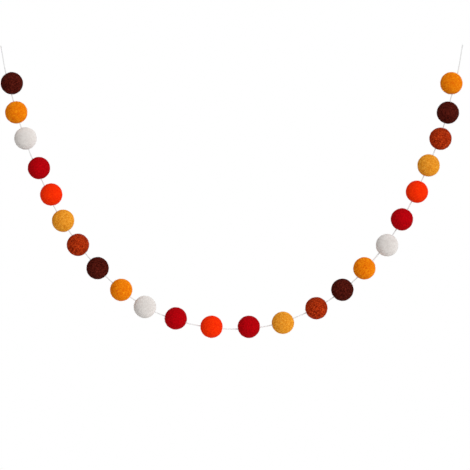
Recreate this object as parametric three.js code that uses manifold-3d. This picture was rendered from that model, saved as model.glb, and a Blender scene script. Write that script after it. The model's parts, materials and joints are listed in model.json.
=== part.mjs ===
// Felt ball garland: wool felt balls threaded on one thin cord, which hangs in a deep swag from its two ends.
// Millimetres, +Z up, +X to the right seen from the front (the -Y side), origin at the left end of the cord.
import * as THREE from 'three';
import { mergeVertices } from 'three/addons/utils/BufferGeometryUtils.js';
import Module from 'manifold-3d';

// Driving dimensions
const BALL_DIAMETER = 25;
const CORD_DIAMETER = 1.4;
const HOLE_CLEARANCE = 0.35; // space round the cord in the needle hole through each ball

// How far a hand-rolled ball departs from round, as a share of its radius, in broad swells and smaller ones
const UNEVENNESS = 0.01;
const BROAD_SWELLS = 2;
const SMALL_SWELLS = 4;
const SMALL_SWELL_SHARE = 0.5;

// Fineness of the surfaces
const BALL_DETAIL = 3; // cuts along each edge of the icosahedron that a ball starts from
const CORD_SIDES = 8;
const CORD_STEPS = 80;
const CURVE_TENSION = 0.5;
const LENGTH_DIVISIONS = 2000; // for measuring along the cord

// Colours of the wool and of the cord
const FELT_COLOURS = {
  brown: 0x4a1a12,
  amber: 0xdf8215,
  white: 0xd8d0cc,
  red: 0xa90911,
  orange: 0xea3610,
  gold: 0xdd9839,
  rust: 0x9a3215,
};
const CORD_COLOUR = 0xeeece8;

// The cord's hanging route in the XZ plane as [x, z], from its left end to its right end
const CORD_ROUTE = [
  [0, 0], [5, -28], [13, -58], [22, -89], [33, -121], [47, -153], [61, -183], [78, -210], [98, -237],
  [122, -263], [149, -285], [179, -302], [217, -314], [258, -319], [299, -316], [337, -304], [371, -286],
  [399, -264], [423, -238], [444, -210], [461, -180], [476, -149], [489, -119], [500, -89], [508, -58],
  [516, -28], [521, 1],
];

// The balls from left to right. bare is the length of cord that shows before a ball.
// inset is how far the ball's centre lies inside the cord's curve: a hole made by hand misses it a little.
const BALLS = [
  { felt: 'brown', bare: 31, inset: 3.5 },
  { felt: 'amber', bare: 8, inset: -0.5 },
  { felt: 'white', bare: 6, inset: 0.5 },
  { felt: 'red', bare: 12, inset: 2.5 },
  { felt: 'orange', bare: 8, inset: 3 },
  { felt: 'gold', bare: 7.5, inset: 0.5 },
  { felt: 'rust', bare: 7, inset: -1 },
  { felt: 'brown', bare: 9.5, inset: -0.5 },
  { felt: 'amber', bare: 11, inset: 0 },
  { felt: 'white', bare: 8, inset: -0.5 },
  { felt: 'red', bare: 12.5, inset: 1.5 },
  { felt: 'orange', bare: 16.5, inset: 1 },
  { felt: 'red', bare: 17.5, inset: 2 },
  { felt: 'gold', bare: 14, inset: -1 },
  { felt: 'rust', bare: 16, inset: -0.5 },
  { felt: 'brown', bare: 11, inset: 1 },
  { felt: 'amber', bare: 10, inset: 1.5 },
  { felt: 'white', bare: 11.5, inset: -1.5 },
  { felt: 'red', bare: 8.5, inset: 0.5 },
  { felt: 'orange', bare: 10.5, inset: -0.5 },
  { felt: 'gold', bare: 7.5, inset: 0 },
  { felt: 'rust', bare: 8, inset: -1 },
  { felt: 'brown', bare: 5.5, inset: -0.5 },
  { felt: 'amber', bare: 8, inset: 4 },
];

const BALL_RADIUS = BALL_DIAMETER / 2;
const CORD_RADIUS = CORD_DIAMETER / 2;
const HOLE_RADIUS = CORD_RADIUS + HOLE_CLEARANCE;

const wasm = await Module();
wasm.setup();

// A closed surface as a solid that can be cut
function solidFrom(geometry) {
  geometry.deleteAttribute('normal');
  geometry.deleteAttribute('uv');
  const merged = mergeVertices(geometry);
  const mesh = new wasm.Mesh({
    numProp: 3,
    vertProperties: merged.attributes.position.array,
    triVerts: new Uint32Array(merged.index.array),
  });
  return new wasm.Manifold(mesh);
}

// The surface that a cut solid is left with
function geometryFrom(solid) {
  const mesh = solid.getMesh();
  const geometry = new THREE.BufferGeometry();
  geometry.setAttribute('position', new THREE.BufferAttribute(mesh.vertProperties, 3));
  geometry.setIndex(new THREE.BufferAttribute(mesh.triVerts, 1));
  geometry.computeVertexNormals();
  return geometry;
}

// The smooth curve that the cord hangs in
function hangingCurve() {
  const points = CORD_ROUTE.map(([x, z]) => new THREE.Vector3(x, 0, z));
  const curve = new THREE.CatmullRomCurve3(points, false, 'catmullrom', CURVE_TENSION);
  curve.arcLengthDivisions = LENGTH_DIVISIONS;
  return curve;
}

// A many-sided tube along the cord's curve, closed at both ends
function tubeAlong(curve, radius) {
  const corners = Array.from({ length: CORD_SIDES }, (_, side) => {
    const angle = (side * 2 * Math.PI) / CORD_SIDES;
    return new THREE.Vector2(radius * Math.cos(angle), radius * Math.sin(angle));
  });
  const settings = { steps: CORD_STEPS, extrudePath: curve, bevelEnabled: false };
  return new THREE.ExtrudeGeometry(new THREE.Shape(corners), settings);
}

// The radius of a hand-rolled ball in one direction, as a share of a true sphere's
function roundness(direction, number) {
  const broad = Math.sin(BROAD_SWELLS * direction.x + number) * Math.cos(BROAD_SWELLS * direction.y - number);
  const small = Math.sin(SMALL_SWELLS * direction.z + 2 * number);
  return 1 + UNEVENNESS * (broad + SMALL_SWELL_SHARE * small);
}

// One rolled ball of felt about its own centre, before the cord is threaded through it
function rolledBall(number) {
  const geometry = new THREE.IcosahedronGeometry(BALL_RADIUS, BALL_DETAIL);
  const position = geometry.attributes.position;
  const point = new THREE.Vector3();
  for (let i = 0; i < position.count; i += 1) {
    point.fromBufferAttribute(position, i);
    const direction = point.clone().normalize();
    point.multiplyScalar(roundness(direction, number));
    position.setXYZ(i, point.x, point.y, point.z);
  }
  return geometry;
}

// The centre of a ball that is threaded at a length along the cord
function threadedCentre(curve, along, inset) {
  const share = along / curve.getLength();
  const tangent = curve.getTangentAt(share);
  const inward = new THREE.Vector3(-tangent.z, 0, tangent.x);
  return curve.getPointAt(share).addScaledVector(inward, inset);
}

// A felt ball with the needle hole that the cord runs through
function makeBall(curve, number, centre, felt) {
  const hole = tubeAlong(curve, HOLE_RADIUS).translate(-centre.x, -centre.y, -centre.z);
  const threaded = solidFrom(rolledBall(number)).subtract(solidFrom(hole));
  const material = new THREE.MeshStandardMaterial({ color: FELT_COLOURS[felt], roughness: 1, metalness: 0 });
  const ball = new THREE.Mesh(geometryFrom(threaded), material);
  ball.name = `ball_${String(number).padStart(2, '0')}`;
  ball.position.copy(centre);
  return ball;
}

// All the balls, set out one after another along the cord
function makeBalls(curve) {
  const balls = new THREE.Group();
  let used = 0; // length of cord from the left end to the far side of the last ball
  BALLS.forEach(({ felt, bare, inset }, index) => {
    const centre = threadedCentre(curve, used + bare + BALL_RADIUS, inset);
    balls.add(makeBall(curve, index + 1, centre, felt));
    used += bare + BALL_DIAMETER;
  });
  return balls;
}

// The one cord that carries every ball
function makeCord(curve) {
  const material = new THREE.MeshStandardMaterial({ color: CORD_COLOUR, roughness: 0.9, metalness: 0 });
  const cord = new THREE.Mesh(tubeAlong(curve, CORD_RADIUS), material);
  cord.name = 'cord';
  return cord;
}

const curve = hangingCurve();
const garland = new THREE.Group();
garland.add(makeCord(curve), makeBalls(curve));

export default garland;
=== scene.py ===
"""Felt ball garland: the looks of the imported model. Metres, +Z up, seen from the -Y side.

Hand-rolled wool felt balls, each with its matted surface, its needle hole and its loose fibres, hang on a
three-ply cotton cord. The cord's route repeats the part's own, and each ball stays where its solid is.
"""

import json
import math

import bmesh
import bpy
import numpy as np
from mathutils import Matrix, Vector


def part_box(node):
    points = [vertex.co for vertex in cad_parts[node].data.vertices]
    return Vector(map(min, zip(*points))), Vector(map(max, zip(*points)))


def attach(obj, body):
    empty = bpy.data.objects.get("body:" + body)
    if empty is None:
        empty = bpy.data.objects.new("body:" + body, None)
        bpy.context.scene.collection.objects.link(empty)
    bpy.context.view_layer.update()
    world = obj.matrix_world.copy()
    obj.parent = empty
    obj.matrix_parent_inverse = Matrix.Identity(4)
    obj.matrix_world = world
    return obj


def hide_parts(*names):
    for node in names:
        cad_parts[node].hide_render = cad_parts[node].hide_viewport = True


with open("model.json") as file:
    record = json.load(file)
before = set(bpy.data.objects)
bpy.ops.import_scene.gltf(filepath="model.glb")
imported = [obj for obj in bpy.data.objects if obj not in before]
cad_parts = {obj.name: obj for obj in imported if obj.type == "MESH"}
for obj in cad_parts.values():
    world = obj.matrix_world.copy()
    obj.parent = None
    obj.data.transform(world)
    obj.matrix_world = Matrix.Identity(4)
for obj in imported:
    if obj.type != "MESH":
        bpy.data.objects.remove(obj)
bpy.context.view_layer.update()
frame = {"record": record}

MM = 0.001

# Camera: the frame at the garland is as wide as the photograph
PHOTO_PIXELS = 470
PIXEL_SIZE = 1.129 * MM
VIEW_WIDTH = PHOTO_PIXELS * PIXEL_SIZE
VIEW_CENTRE = (0.2641, 0.0, -0.2129)
LENS = 500.0  # millimetres
SENSOR = 36.0  # millimetres

# Studio
WHITE = (1.0, 1.0, 1.0, 1.0)
SURROUND_STRENGTH = 1.0  # the white that the camera sees
SKY_STRENGTH = 0.63  # even light from all sides
LAMP_ANGLE = math.radians(40)  # how broad a lamp looks, which softens its shading
LAMPS = {  # direction towards each lamp as right, back and up, and its strength in watts a square metre
    "key": {"towards": (0.58, -0.77, 0.26), "strength": 1.8},
    "back_fill": {"towards": (0.10, 0.97, 0.20), "strength": 1.6},
}
FLOOR_HEIGHT = -1.0
FLOOR_RADIUS = 0.60
FLOOR_EDGE_POINTS = 96
FLOOR_COLOUR = 0xF4F3F1
FLOOR_GLOW = 0.31  # lifts the pale floor towards the white of the surround
FLOOR_ROUGHNESS = 0.9
FLOOR_GLOSS = 0.2

# Cord: three plies twisted together
CORD_DIAMETER = 1.4 * MM
PLY_COUNT = 3
PLY_RADIUS = 0.325 * MM
PLY_PITCH = 5.0 * MM  # length of one full twist
PLY_SIDES = 6
RINGS_A_TWIST = 12
CUT_END = 4.0 * MM  # length over which the plies come apart at a cut end
CUT_END_SPREAD = 0.6  # how far they come apart, as a share of their distance from the middle
CUT_ANGLE = math.radians(75)  # edges of the cut ends stay sharp, and the sides of a ply are smooth
CURVE_TENSION = 0.5
CURVE_STEPS = 200  # fine steps between two points of the route, for measuring along it

# The cord's hanging route in the XZ plane as (x, z), from its left end to its right end
CORD_ROUTE = [
    (0.000, 0.000), (0.005, -0.028), (0.013, -0.058), (0.022, -0.089), (0.033, -0.121),
    (0.047, -0.153), (0.061, -0.183), (0.078, -0.210), (0.098, -0.237), (0.122, -0.263),
    (0.149, -0.285), (0.179, -0.302), (0.217, -0.314), (0.258, -0.319), (0.299, -0.316),
    (0.337, -0.304), (0.371, -0.286), (0.399, -0.264), (0.423, -0.238), (0.444, -0.210),
    (0.461, -0.180), (0.476, -0.149), (0.489, -0.119), (0.500, -0.089), (0.508, -0.058),
    (0.516, -0.028), (0.521, 0.001),
]

# Ball: the same uneven roundness as its solid, with the finer lumps of matted wool on top
BALL_RADIUS = 12.5 * MM
UNEVENNESS = 0.01  # of the swells, as a share of the radius
BROAD_SWELLS = 2
SMALL_SWELLS = 4
SMALL_SWELL_SHARE = 0.5
PILE = 0.10 * MM  # how far the matted wool stands proud of the solid
LUMP_DEPTH = 0.05 * MM  # usual height of the matted lumps
LUMP_SIZES = (1.8 * MM, 6.0 * MM)  # shortest and longest wave of the lumps
LUMP_WAVES = 48
BALL_SUBDIVISIONS = 6
HOLE_RADIUS = 0.72 * MM  # the wool closes on the cord
HOLE_SIDES = 16
HOLE_STEP = 2.0 * MM  # between the rings of the tube that cuts the holes
PUCKER_DEPTH = 0.7 * MM  # how far the needle drew the wool in round the hole
PUCKER_WIDTH = 1.3 * MM
PUCKER_STEP = 0.25 * MM  # between the points of the cord that the puckers are measured from
RIM_ANGLE = math.radians(50)  # the rim of a hole stays sharp

# Loose wool fibres on every ball. along, rise and arch are ranges in metres:
# the length that lies along the surface, how far the tip stands off it, and how far the middle bows off it.
# sway is the most that a fibre bends to either side.
FIBRE_SIDES = 3
FIBRE_ROOT_DEPTH = 0.15 * MM
WOOL_KINDS = {
    "fuzz": {
        "count": 1350, "rings": 1, "radius": 0.022 * MM,
        "along": (0.2 * MM, 1.0 * MM), "rise": (0.3 * MM, 1.0 * MM), "arch": (0.0, 0.25 * MM),
        "sway": 0.25 * MM,
    },
    "strand": {
        "count": 450, "rings": 3, "radius": 0.020 * MM,
        "along": (1.8 * MM, 4.5 * MM), "rise": (0.0, 0.1 * MM), "arch": (0.15 * MM, 0.22 * MM),
        "sway": 0.8 * MM,
    },
}
WOOL_SEED = 1000
WOOL_SHADE_SHARES = {"dark": 0.25, "middle": 0.45, "light": 0.30}

# Loose cotton on the bare cord and at its two cut ends. off is a range too, of the root's distance from the
# middle of its ply.
COTTON_KINDS = {
    "fuzz": {
        "count": 1200, "rings": 2, "radius": 0.013 * MM, "off": (0.0, 0.25 * MM),
        "along": (0.6 * MM, 2.2 * MM), "rise": (0.4 * MM, 1.0 * MM), "sway": 0.6 * MM,
    },
    "fray": {
        "count": 120, "rings": 2, "radius": 0.020 * MM, "off": (0.0, 0.28 * MM),
        "along": (1.7 * MM, 3.4 * MM), "rise": (0.0, 0.5 * MM), "sway": 0.5 * MM,
    },
}
FRAY_ROOT_RINGS = 3  # rings from a cut end to the roots of its frayed fibres
COTTON_SEED = 2000

# Wool colours as sRGB: the shades that are carded together, how strongly the darker and lighter ones show,
# and how far the wool scatters light, which evens out the shading of the pale ones
FELTS = {
    "felt_brown": {"dark": 0x240301, "middle": 0x450F08, "light": 0x70261A, "heather": 1.0, "scatter": 0.0},
    "felt_amber": {"dark": 0xD75E01, "middle": 0xEA8306, "light": 0xFAAA18, "heather": 1.0, "scatter": 0.8},
    "felt_white": {"dark": 0xCFC9C5, "middle": 0xDED9D5, "light": 0xEBE8E5, "heather": 0.7, "scatter": 1.0},
    "felt_red": {"dark": 0x8A0006, "middle": 0xAE0109, "light": 0xD20512, "heather": 0.8, "scatter": 0.0},
    "felt_orange": {"dark": 0xDA1D01, "middle": 0xF62D03, "light": 0xFF4608, "heather": 0.8, "scatter": 0.3},
    "felt_gold": {"dark": 0xCA760D, "middle": 0xEA9B23, "light": 0xFABF4A, "heather": 1.0, "scatter": 0.8},
    "felt_rust": {"dark": 0x5B0C01, "middle": 0xA52706, "light": 0xDD4F1C, "heather": 1.0, "scatter": 0.0},
}

# Felt: layers of fibres that wander and cross each other, and tufts where one shade of wool lies thicker.
# A pair of sizes is a length and a width.
LAYER_DIRECTIONS = {"middle": (1, 1, 1), "crossing": (1, -1, -1), "dark": (-1, 1, -1), "light": (-1, -1, 1)}
FELT_FIBRE = (3.5 * MM, 0.14 * MM)
WANDER_SIZE = 2.5 * MM
WANDER_AMOUNT = 1.6 * MM
TUFT = (4.0 * MM, 1.1 * MM)
TUFT_STRENGTH = 1.1  # how unevenly the darker and lighter wool is spread
SWIRL_SIZE = 6.0 * MM
SWIRL_AMOUNT = 6.0 * MM
SHADE_SOFTNESS = 0.12  # of noise, over which one shade passes into the next
FELT_RELIEF = (0.45, 0.90)  # noise at the foot and at the top of the fibres
FELT_ROUGHNESS = (0.98, 0.82)  # at their foot and at their top
FELT_BUMP = {"Strength": 0.8, "Distance": 0.18 * MM}
WOOL_GLOSS = 0.03
WOOL_SHEEN = 0.03
SHEEN_ROUGHNESS = 0.5
LOOSE_ROUGHNESS = 0.9  # of the loose fibres

# Cotton: fibres that are twisted into each ply
# The light tone is the cotton's white; the dark tone is painted shade, laid at the foot of the yarn's
# fibres.
CORD_WHITE_AND_PAINTED_SHADE = {"dark": 0xDFDFDF, "light": 0xF8F8F8}
YARN_TWIST = -4.0 * MM  # length of one turn of the fibres in a ply, against the twist of the plies
YARN_FIBRE = (2.5 * MM, 0.07 * MM)
YARN_RELIEF = (0.3, 0.7)
YARN_ROUGHNESS = (0.95, 0.80)
YARN_BUMP = {"Strength": 0.8, "Distance": 0.06 * MM}
COTTON_GLOSS = 0.1

# Noise that all the patterns are drawn with
NOISE_DETAIL = 2.0
NOISE_ROUGHNESS = 0.6
NOISE_MIDDLE = 0.5


def linear_colour(code):
    """An sRGB colour code as the linear red, green, blue and alpha that shaders take."""
    parts = [(code >> shift & 255) / 255 for shift in (16, 8, 0)]
    curve = [v / 12.92 if v <= 0.04045 else ((v + 0.055) / 1.055) ** 2.4 for v in parts]
    return (*curve, 1.0)


# Shader helpers

def add_node(tree, kind, inputs=None, **settings):
    """A shader node with some of its settings and unlinked inputs."""
    node = tree.nodes.new(kind)
    for name, value in settings.items():
        setattr(node, name, value)
    for name, value in (inputs or {}).items():
        node.inputs[name].default_value = value
    return node


def new_material(name, **values):
    """A material with one Principled shader, with the values that are the same all over it."""
    material = bpy.data.materials.new(name)
    material.use_nodes = True
    shader = material.node_tree.nodes["Principled BSDF"]
    for socket, value in values.items():
        shader.inputs[socket.replace("_", " ")].default_value = value
    return material, material.node_tree, shader


def add_noise(tree, place, size):
    """Noise whose features are about size metres across, from 0 to 1."""
    inputs = {"Scale": 1 / size, "Detail": NOISE_DETAIL, "Roughness": NOISE_ROUGHNESS}
    noise = add_node(tree, "ShaderNodeTexNoise", inputs)
    tree.links.new(place, noise.inputs["Vector"])
    return noise


def add_range(tree, value, low, high, to_low=0.0, to_high=1.0):
    """A value stretched from one range to another, and kept inside it."""
    inputs = {"From Min": low, "From Max": high, "To Min": to_low, "To Max": to_high}
    node = add_node(tree, "ShaderNodeMapRange", inputs)
    tree.links.new(value, node.inputs["Value"])
    return node.outputs["Result"]


def add_math(tree, operation, first, second):
    """Two values, sockets or numbers, put together by one sum."""
    node = add_node(tree, "ShaderNodeMath", operation=operation)
    for socket, value in zip(node.inputs, (first, second)):
        if isinstance(value, (int, float)):
            socket.default_value = value
        else:
            tree.links.new(value, socket)
    return node.outputs["Value"]


def add_mix(tree, factor, first, second):
    """A blend of two colours, each a socket or an sRGB code."""
    node = add_node(tree, "ShaderNodeMix", data_type="RGBA")
    tree.links.new(factor, node.inputs["Factor"])
    for name, colour in (("A", first), ("B", second)):
        socket = next(s for s in node.inputs if s.name == name and s.type == "RGBA")
        if isinstance(colour, int):
            socket.default_value = linear_colour(colour)
        else:
            tree.links.new(colour, socket)
    return next(s for s in node.outputs if s.type == "RGBA")


def add_warp(tree, place, size, amount):
    """A place moved about by noise, so that what is drawn there wanders."""
    noise = add_noise(tree, place, size)
    centred = add_node(tree, "ShaderNodeVectorMath", operation="SUBTRACT")
    tree.links.new(noise.outputs["Color"], centred.inputs[0])
    centred.inputs[1].default_value = (NOISE_MIDDLE,) * 3
    moved = add_node(tree, "ShaderNodeVectorMath", operation="MULTIPLY_ADD")
    tree.links.new(centred.outputs["Vector"], moved.inputs[0])
    moved.inputs[1].default_value = (amount,) * 3
    tree.links.new(place, moved.inputs[2])
    return moved.outputs["Vector"]


def add_streaks(tree, place, direction, length, width):
    """Noise drawn out into fibres of one direction."""
    mapping = add_node(tree, "ShaderNodeMapping", vector_type="TEXTURE")
    mapping.inputs["Rotation"].default_value = Vector(direction).to_track_quat("X", "Z").to_euler()
    mapping.inputs["Scale"].default_value = (length, width, width)
    tree.links.new(place, mapping.inputs["Vector"])
    return add_noise(tree, mapping.outputs["Vector"], 1.0).outputs["Fac"]


def add_relief(tree, shader, height, roughness, bump):
    """Roughness and bumps of a surface by the height of its fibres, from 0 to 1."""
    tree.links.new(add_range(tree, height, 0.0, 1.0, *roughness), shader.inputs["Roughness"])
    node = add_node(tree, "ShaderNodeBump", bump)
    tree.links.new(height, node.inputs["Height"])
    tree.links.new(node.outputs["Normal"], shader.inputs["Normal"])


# Materials

def add_layers(tree, place):
    """Fibres that wander across the surface, one layer for each direction."""
    wandering = add_warp(tree, place, WANDER_SIZE, WANDER_AMOUNT)
    return {name: add_streaks(tree, wandering, direction, *FELT_FIBRE)
            for name, direction in LAYER_DIRECTIONS.items()}


def add_tufts(tree, place, direction):
    """Tufts where one shade of wool lies thicker or thinner, about zero."""
    tufts = add_streaks(tree, place, direction, *TUFT)
    return add_math(tree, "MULTIPLY", add_math(tree, "SUBTRACT", tufts, NOISE_MIDDLE), TUFT_STRENGTH)


def add_lead(tree, layer, others):
    """From 0 to 1 where a layer of fibres comes out above the others."""
    return add_range(tree, add_math(tree, "SUBTRACT", layer, others), -SHADE_SOFTNESS, SHADE_SOFTNESS)


def add_heather(tree, place, shades):
    """The colour of wool whose shades are carded together, and the height of its topmost fibres."""
    layers = add_layers(tree, place)
    middle = add_math(tree, "MAXIMUM", layers["middle"], layers["crossing"])
    swirling = add_warp(tree, place, SWIRL_SIZE, SWIRL_AMOUNT)
    colour, top = shades["middle"], middle
    for shade in ("light", "dark"):
        layer = add_math(tree, "ADD", layers[shade], add_tufts(tree, swirling, LAYER_DIRECTIONS[shade]))
        share = add_math(tree, "MULTIPLY", add_lead(tree, layer, middle), shades["heather"])
        colour = add_mix(tree, share, colour, shades[shade])
        top = add_math(tree, "MAXIMUM", top, layer)
    return colour, add_range(tree, top, *FELT_RELIEF)


def felt_material(slot):
    """Matted wool: fibres of three shades that cross each other, in colour, roughness and relief."""
    shades = FELTS[slot]
    material, tree, shader = new_material(
        slot, Specular_IOR_Level=WOOL_GLOSS, Diffuse_Roughness=shades["scatter"], Sheen_Weight=WOOL_SHEEN,
        Sheen_Roughness=SHEEN_ROUGHNESS, Sheen_Tint=linear_colour(shades["light"]))
    place = add_node(tree, "ShaderNodeTexCoord").outputs["Object"]
    colour, relief = add_heather(tree, place, shades)
    tree.links.new(colour, shader.inputs["Base Color"])
    add_relief(tree, shader, relief, FELT_ROUGHNESS, FELT_BUMP)
    return material


def fibre_material(name, colour):
    """One shade of loose fibres, which are too thin to carry a pattern of their own."""
    material, _, _ = new_material(
        name, Base_Color=linear_colour(colour), Roughness=LOOSE_ROUGHNESS, Specular_IOR_Level=WOOL_GLOSS)
    return material


def wool_materials(slot):
    """The shades of the loose fibres on one kind of ball."""
    return [fibre_material(f"{slot}_{shade}", FELTS[slot][shade]) for shade in WOOL_SHADE_SHARES]


def cord_material():
    """White cotton, with fine fibres that run along the plies, and painted shade where the fibres are low.
    """
    material, tree, shader = new_material("cord_white", Specular_IOR_Level=COTTON_GLOSS)
    place = add_node(tree, "ShaderNodeAttribute", attribute_name="yarn").outputs["Vector"]
    fibres = add_range(tree, add_streaks(tree, place, (1, 0, 0), *YARN_FIBRE), *YARN_RELIEF)
    # Painted shade: the colour goes darker where the fibres' relief is low, in the hollows between them.
    colour = add_mix(tree, fibres, CORD_WHITE_AND_PAINTED_SHADE["dark"], CORD_WHITE_AND_PAINTED_SHADE["light"])
    tree.links.new(colour, shader.inputs["Base Color"])
    add_relief(tree, shader, fibres, YARN_ROUGHNESS, YARN_BUMP)
    return material


# Mesh helpers

def new_object(name, points, faces):
    """A mesh object in the scene, from arrays of points and faces."""
    mesh = bpy.data.meshes.new(name)
    mesh.from_pydata(np.asarray(points).tolist(), [], [list(face) for face in faces])
    piece = bpy.data.objects.new(name, mesh)
    bpy.context.scene.collection.objects.link(piece)
    return piece


def declare(piece, node=None):
    """Says what a piece moves with, and hides the solid that it stands for."""
    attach(piece, "root")
    if node:
        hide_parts(node)


def unit(vectors):
    """Vectors of length one."""
    return vectors / np.linalg.norm(vectors, axis=-1, keepdims=True)


def tube(line, across, sides, radius):
    """Points and faces of a closed tube along a line, with two directions across it."""
    angles = np.arange(sides) * 2 * math.pi / sides
    first, second = (direction[:, None, :] for direction in across)
    rings = np.cos(angles)[None, :, None] * first + np.sin(angles)[None, :, None] * second
    points = (line[:, None, :] + radius * rings).reshape(-1, 3)
    corner = np.arange(sides)
    beside = (corner + 1) % sides
    ring_start = np.arange(len(line) - 1)[:, None] * sides
    quads = np.stack([corner + ring_start, beside + ring_start, beside + ring_start + sides,
                      corner + ring_start + sides], axis=-1).reshape(-1, 4)
    caps = [corner[::-1].tolist(), (corner + (len(line) - 1) * sides).tolist()]
    return points, quads.tolist() + caps


# The cord's line

def hanging_curve():
    """Fine points on the smooth curve through the route, in the same cubic pieces as the part's own."""
    route = np.array([(x, 0.0, z) for x, z in CORD_ROUTE])
    before, after = 2 * route[0] - route[1], 2 * route[-1] - route[-2]
    points = np.vstack([before, route, after])
    start, end = points[1:-2, None], points[2:-1, None]
    leave = CURVE_TENSION * (points[2:-1] - points[:-3])[:, None]
    arrive = CURVE_TENSION * (points[3:] - points[1:-2])[:, None]
    t = np.linspace(0, 1, CURVE_STEPS, endpoint=False)[None, :, None]
    curve = start + leave * t + (3 * (end - start) - 2 * leave - arrive) * t**2
    curve += (2 * (start - end) + leave + arrive) * t**3
    return np.vstack([curve.reshape(-1, 3), route[-1]])


def cord_line(curve, spacing):
    """Points about spacing apart along the curve, from end to end, with the lengths at which they lie."""
    steps = np.linalg.norm(np.diff(curve, axis=0), axis=1)
    along = np.concatenate([[0.0], np.cumsum(steps)])
    lengths = np.linspace(0.0, along[-1], round(along[-1] / spacing) + 1)
    return np.stack([np.interp(lengths, along, curve[:, k]) for k in range(3)], axis=1), lengths


def cross_directions(line):
    """Two directions across a line in the XZ plane: one in the plane, one along Y."""
    tangent = unit(np.gradient(line, axis=0))
    in_plane = np.stack([-tangent[:, 2], np.zeros(len(line)), tangent[:, 0]], axis=1)
    return in_plane, np.broadcast_to([0.0, 1.0, 0.0], in_plane.shape)


# Loose fibres

def fibre_faces(rings):
    """Triangles of one fibre: a point at the root, rings of corners, and a point at the tip."""
    tip = 1 + rings * FIBRE_SIDES
    faces = []
    for side in range(FIBRE_SIDES):
        a, b = 1 + side, 1 + (side + 1) % FIBRE_SIDES
        faces.append((0, b, a))
        for _ in range(rings - 1):
            faces += [(a, b, b + FIBRE_SIDES), (a, b + FIBRE_SIDES, a + FIBRE_SIDES)]
            a, b = a + FIBRE_SIDES, b + FIBRE_SIDES
        faces.append((a, b, tip))
    return np.array(faces)


def fibre_points(lines, up, radius):
    """Points of closed fibres along their middle lines: a root, rings of corners, and a tip."""
    tangent = unit(lines[:, 2:] - lines[:, :-2])
    across = unit(np.cross(tangent, up[:, None]))
    above = np.cross(across, tangent)
    corners = []
    for corner in range(FIBRE_SIDES):
        turn = 2 * math.pi * corner / FIBRE_SIDES
        corners.append(lines[:, 1:-1] + radius * (math.cos(turn) * across + math.sin(turn) * above))
    body = np.stack(corners, axis=2).reshape(len(lines), -1, 3)
    return np.concatenate([lines[:, :1], body, lines[:, -1:]], axis=1)


def new_fibres(name, bundles, materials, shares, rng):
    """One mesh of loose fibres. Each bundle has middle lines, outward directions and a radius."""
    points, faces, shades = [], [], []
    first = 0
    for lines, up, radius in bundles:
        corners = fibre_points(lines, up, radius)
        count, size = corners.shape[:2]
        one = fibre_faces(lines.shape[1] - 2)
        starts = first + np.arange(count) * size
        faces.append((one[None] + starts[:, None, None]).reshape(-1, 3))
        shades.append(np.repeat(rng.choice(len(materials), count, p=shares), len(one)))
        points.append(corners.reshape(-1, 3))
        first += count * size
    fibres = new_object(name, np.vstack(points), np.vstack(faces).tolist())
    for material in materials:
        fibres.data.materials.append(material)
    fibres.data.polygons.foreach_set("material_index", np.concatenate(shades).astype(np.int32))
    fibres.data.shade_smooth()
    return fibres


# Cord

def ply_middles(line, lengths):
    """The middle line of each ply, twisted round the cord's line and a little apart at the two cut ends."""
    in_plane, sideways = cross_directions(line)
    from_end = np.minimum(lengths, lengths[-1] - lengths)
    loosened = np.clip(1 - from_end / CUT_END, 0, 1) ** 2
    offset = (CORD_DIAMETER / 2 - PLY_RADIUS) * (1 + CUT_END_SPREAD * loosened)
    middles = []
    for ply in range(PLY_COUNT):
        turn = 2 * math.pi * (lengths / PLY_PITCH + ply / PLY_COUNT)
        out = (offset * np.cos(turn))[:, None] * in_plane
        aside = (offset * np.sin(turn))[:, None] * sideways
        middles.append(line + out + aside)
    return middles


def straight_yarn(lengths):
    """Where the points of a ply lie when it is pulled straight and untwisted, to draw its fibres on."""
    corners = np.arange(PLY_SIDES) * 2 * math.pi / PLY_SIDES
    angles = corners[None, :] + 2 * math.pi * lengths[:, None] / YARN_TWIST
    along = np.broadcast_to(lengths[:, None], angles.shape)
    places = [along, PLY_RADIUS * np.cos(angles), PLY_RADIUS * np.sin(angles)]
    return np.stack(places, axis=-1).reshape(-1, 3)


def new_plies(line, lengths, plies):
    """The mesh of the twisted plies. Each point also keeps its place on the straight yarn."""
    across = cross_directions(line)
    points, faces, yarn = [], [], []
    for ply, middle in enumerate(plies):
        ply_points, ply_faces = tube(middle, across, PLY_SIDES, PLY_RADIUS)
        first = ply * len(ply_points)
        faces += [[first + corner for corner in face] for face in ply_faces]
        points.append(ply_points)
        yarn.append(straight_yarn(lengths + ply * lengths[-1]))
    cord = new_object("hanging_cord", np.vstack(points), faces)
    places = cord.data.attributes.new("yarn", "FLOAT_VECTOR", "POINT")
    places.data.foreach_set("vector", np.vstack(yarn).ravel().astype(np.float32))
    cord.data.shade_smooth()
    cord.data.set_sharp_from_angle(angle=CUT_ANGLE)
    return cord


def cotton_lines(rng, line, plies, kind, starts, ways):
    """Middle lines of loose fibres that leave the plies at some rings, with their outward directions."""
    count = len(starts)
    in_plane, sideways = (direction[starts] for direction in cross_directions(line))
    turn = rng.uniform(0, 2 * math.pi, count)[:, None]
    out = np.cos(turn) * in_plane + np.sin(turn) * sideways
    side = np.cos(turn) * sideways - np.sin(turn) * in_plane
    ahead = ways[:, None] * np.cross(sideways, in_plane)
    off, along, rise = (rng.uniform(*kind[key], count)[:, None] for key in ("off", "along", "rise"))
    sway = rng.uniform(-kind["sway"], kind["sway"], count)[:, None]
    t = np.linspace(0, 1, kind["rings"] + 2)[None, :]
    moves = ((along * t, ahead), (off + rise * t, out), (sway * t * t, side))
    roots = np.array(plies)[rng.integers(PLY_COUNT, size=count), starts]
    return roots[:, None] + sum(share[..., None] * way[:, None] for share, way in moves), out


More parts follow.
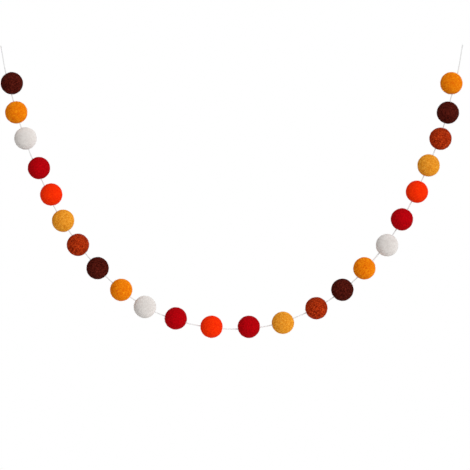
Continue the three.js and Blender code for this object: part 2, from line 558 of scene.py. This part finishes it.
def make_cotton(line, plies):
    """The loose cotton on the bare stretches of the cord and at its two cut ends."""
    rng = np.random.default_rng(COTTON_SEED)
    fuzz, fray = COTTON_KINDS["fuzz"], COTTON_KINDS["fray"]
    centres = np.array([ball_centre(node) for node in ball_slots()])
    apart = np.linalg.norm(line[:, None] - centres[None], axis=-1)
    bare = np.flatnonzero((apart > BALL_RADIUS).all(axis=1))
    starts = {
        "fuzz": rng.choice(bare, fuzz["count"]),
        "fray": np.resize([FRAY_ROOT_RINGS, len(line) - 1 - FRAY_ROOT_RINGS], fray["count"]),
    }
    ways = {"fuzz": rng.choice([-1, 1], fuzz["count"]), "fray": np.resize([-1, 1], fray["count"])}
    bundles = [(*cotton_lines(rng, line, plies, kind, starts[name], ways[name]), kind["radius"])
               for name, kind in COTTON_KINDS.items()]
    materials = [fibre_material("cord_white_fibres", CORD_WHITE_AND_PAINTED_SHADE["light"])]
    cotton = new_fibres("hanging_cord_fibres", bundles, materials, None, rng)
    declare(cotton)
    return cotton


def make_cord(curve):
    """Three cotton plies twisted round each other, with their loose cotton."""
    line, lengths = cord_line(curve, PLY_PITCH / RINGS_A_TWIST)
    plies = ply_middles(line, lengths)
    cord = new_plies(line, lengths, plies)
    cord.data.materials.append(cord_material())
    declare(cord, "cord")
    cotton = make_cotton(line, plies)


# Balls

def ball_slots():
    """The balls' nodes in order along the cord, each with its material slot."""
    parts = sorted(frame["record"]["subparts"], key=lambda part: part["node"])
    return {part["node"]: part["material_slot"] for part in parts if part["node"].startswith("ball_")}


def ball_centre(node):
    """The middle of a ball's solid."""
    return np.mean(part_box(node), axis=0)


def make_needle(curve):
    """A tube along the cord, which cuts the holes through the balls."""
    line, _ = cord_line(curve, HOLE_STEP)
    return new_object("needle", *tube(line, cross_directions(line), HOLE_SIDES, HOLE_RADIUS))


def lump_waves(number):
    """The waves that one ball's lumps are made of: their directions and sizes, and where each starts."""
    rng = np.random.default_rng(number)
    size = rng.uniform(*LUMP_SIZES, LUMP_WAVES)
    waves = unit(rng.normal(size=(LUMP_WAVES, 3))) * (2 * math.pi * BALL_RADIUS / size)[:, None]
    return waves, rng.uniform(0, 2 * math.pi, LUMP_WAVES)


def felt_radius(directions, number):
    """How far one ball's surface is from its centre in each direction."""
    x, y, z = np.moveaxis(directions, -1, 0)
    broad = np.sin(BROAD_SWELLS * x + number) * np.cos(BROAD_SWELLS * y - number)
    small = np.sin(SMALL_SWELLS * z + 2 * number)
    swells = broad + SMALL_SWELL_SHARE * small
    waves, starts = lump_waves(number)
    lumps = np.sin(directions @ waves.T + starts).sum(axis=-1) * math.sqrt(2 / LUMP_WAVES)
    return BALL_RADIUS * (1 + UNEVENNESS * swells) + PILE + LUMP_DEPTH * lumps


def round_template():
    """Directions and triangles of a fine, evenly divided ball."""
    ball = bmesh.new()
    bmesh.ops.create_icosphere(ball, subdivisions=BALL_SUBDIVISIONS, radius=1.0)
    directions = unit(np.array([vertex.co[:] for vertex in ball.verts]))
    triangles = [[vertex.index for vertex in face.verts] for face in ball.faces]
    ball.free()
    return directions, triangles


def pucker(points, line):
    """How far the wool is drawn in at each point, by its distance from the cord."""
    low, high = points.min(axis=0) - PUCKER_WIDTH, points.max(axis=0) + PUCKER_WIDTH
    near = line[((line > low) & (line < high)).all(axis=1)]
    distance = np.linalg.norm(points[:, None, :] - near[None, :, :], axis=-1).min(axis=1)
    return PUCKER_DEPTH * np.exp(-((distance / PUCKER_WIDTH) ** 2))


def cut_hole(ball, needle):
    """Cuts the needle hole and keeps the cut mesh."""
    cut = ball.modifiers.new("needle_hole", "BOOLEAN")
    cut.operation = "DIFFERENCE"
    cut.solver = "MANIFOLD"
    cut.object = needle
    threaded = bpy.data.meshes.new_from_object(ball.evaluated_get(bpy.context.evaluated_depsgraph_get()))
    ball.modifiers.clear()
    whole = ball.data
    ball.data = threaded
    bpy.data.meshes.remove(whole)


def make_ball(node, number, line, needle, template, material):
    """One hand-rolled felt ball, drawn in where the cord goes through it."""
    directions, triangles = template
    rolled = ball_centre(node) + directions * felt_radius(directions, number)[:, None]
    points = rolled - directions * pucker(rolled, line)[:, None]
    ball = new_object(f"felt_{node}", points, triangles)
    ball.data.materials.append(material)
    cut_hole(ball, needle)
    ball.data.shade_smooth()
    ball.data.set_sharp_from_angle(angle=RIM_ANGLE)
    return ball


def wool_lines(rng, number, centre, kind):
    """Middle lines of loose fibres from random places on one ball, with their outward directions."""
    count, rings = kind["count"], kind["rings"]
    up = unit(rng.normal(size=(count, 3)))
    ahead = unit(np.cross(up, rng.normal(size=(count, 3))))
    side = np.cross(up, ahead)
    along, rise, arch = (rng.uniform(*kind[key], count)[:, None] for key in ("along", "rise", "arch"))
    sway = rng.uniform(-kind["sway"], kind["sway"], count)[:, None]
    t = np.linspace(0, 1, rings + 2)[None, :]
    bow = 4 * t * (1 - t)
    angle = along * t / BALL_RADIUS
    directions = up[:, None] * np.cos(angle)[..., None] + ahead[:, None] * np.sin(angle)[..., None]
    directions = unit(directions + side[:, None] * (sway * bow / BALL_RADIUS)[..., None])
    height = felt_radius(directions, number) - FIBRE_ROOT_DEPTH + rise * t + arch * bow
    return centre + directions * height[..., None], up


def make_wool(node, number, materials):
    """The loose wool on one ball, in three shades."""
    rng = np.random.default_rng(WOOL_SEED + number)
    centre = ball_centre(node)
    bundles = [(*wool_lines(rng, number, centre, kind), kind["radius"]) for kind in WOOL_KINDS.values()]
    return new_fibres(f"felt_{node}_fibres", bundles, materials, list(WOOL_SHADE_SHARES.values()), rng)


def make_balls(curve):
    """Every felt ball of the garland with its fibres, where its solid is."""
    line, _ = cord_line(curve, PUCKER_STEP)
    needle, template = make_needle(curve), round_template()
    felts = {slot: felt_material(slot) for slot in FELTS}
    wools = {slot: wool_materials(slot) for slot in FELTS}
    for number, (node, slot) in enumerate(ball_slots().items(), start=1):
        declare(make_ball(node, number, line, needle, template, felts[slot]), node)
        declare(make_wool(node, number, wools[slot]))
    bpy.data.objects.remove(needle)


# Studio

def make_camera():
    """A long lens straight in front of the garland."""
    data = bpy.data.cameras.new("camera")
    data.lens = LENS
    data.sensor_width = SENSOR
    camera = bpy.data.objects.new("camera", data)
    x, y, z = VIEW_CENTRE
    camera.location = (x, y - VIEW_WIDTH * LENS / SENSOR, z)
    camera.rotation_euler = (math.pi / 2, 0, 0)
    bpy.context.scene.collection.objects.link(camera)
    bpy.context.scene.camera = camera


def make_surround():
    """A white surround that gives an even light."""
    scene = bpy.context.scene
    scene.view_settings.view_transform = "Standard"
    scene.world = bpy.data.worlds.new("studio")
    scene.world.use_nodes = True
    tree = scene.world.node_tree
    tree.nodes.clear()
    seen = add_node(tree, "ShaderNodeBackground", {"Color": WHITE, "Strength": SURROUND_STRENGTH})
    lighting = add_node(tree, "ShaderNodeBackground", {"Color": WHITE, "Strength": SKY_STRENGTH})
    mix = add_node(tree, "ShaderNodeMixShader")
    rays = add_node(tree, "ShaderNodeLightPath")
    output = add_node(tree, "ShaderNodeOutputWorld")
    tree.links.new(rays.outputs["Is Camera Ray"], mix.inputs[0])
    tree.links.new(lighting.outputs[0], mix.inputs[1])
    tree.links.new(seen.outputs[0], mix.inputs[2])
    tree.links.new(mix.outputs[0], output.inputs["Surface"])


def make_lamps():
    """A broad soft lamp in front, and a weaker one behind for the back."""
    for name, lamp in LAMPS.items():
        data = bpy.data.lights.new(name, "SUN")
        data.energy = lamp["strength"]
        data.angle = LAMP_ANGLE
        light = bpy.data.objects.new(name, data)
        light.rotation_euler = Vector(lamp["towards"]).to_track_quat("Z", "Y").to_euler()
        bpy.context.scene.collection.objects.link(light)


def make_floor():
    """A plain pale floor below the garland, out of the photograph's frame."""
    angles = np.arange(FLOOR_EDGE_POINTS) * 2 * math.pi / FLOOR_EDGE_POINTS
    edge = np.stack([VIEW_CENTRE[0] + FLOOR_RADIUS * np.cos(angles), FLOOR_RADIUS * np.sin(angles),
                     np.full(FLOOR_EDGE_POINTS, FLOOR_HEIGHT)], axis=1)
    floor = new_object("floor", edge, [range(FLOOR_EDGE_POINTS)])
    colour = linear_colour(FLOOR_COLOUR)
    material, _, _ = new_material(
        "floor_pale", Base_Color=colour, Roughness=FLOOR_ROUGHNESS, Specular_IOR_Level=FLOOR_GLOSS,
        Emission_Color=colour, Emission_Strength=FLOOR_GLOW)
    floor.data.materials.append(material)


make_camera()
curve = hanging_curve()
make_cord(curve)
make_balls(curve)
make_surround()
make_lamps()
make_floor()
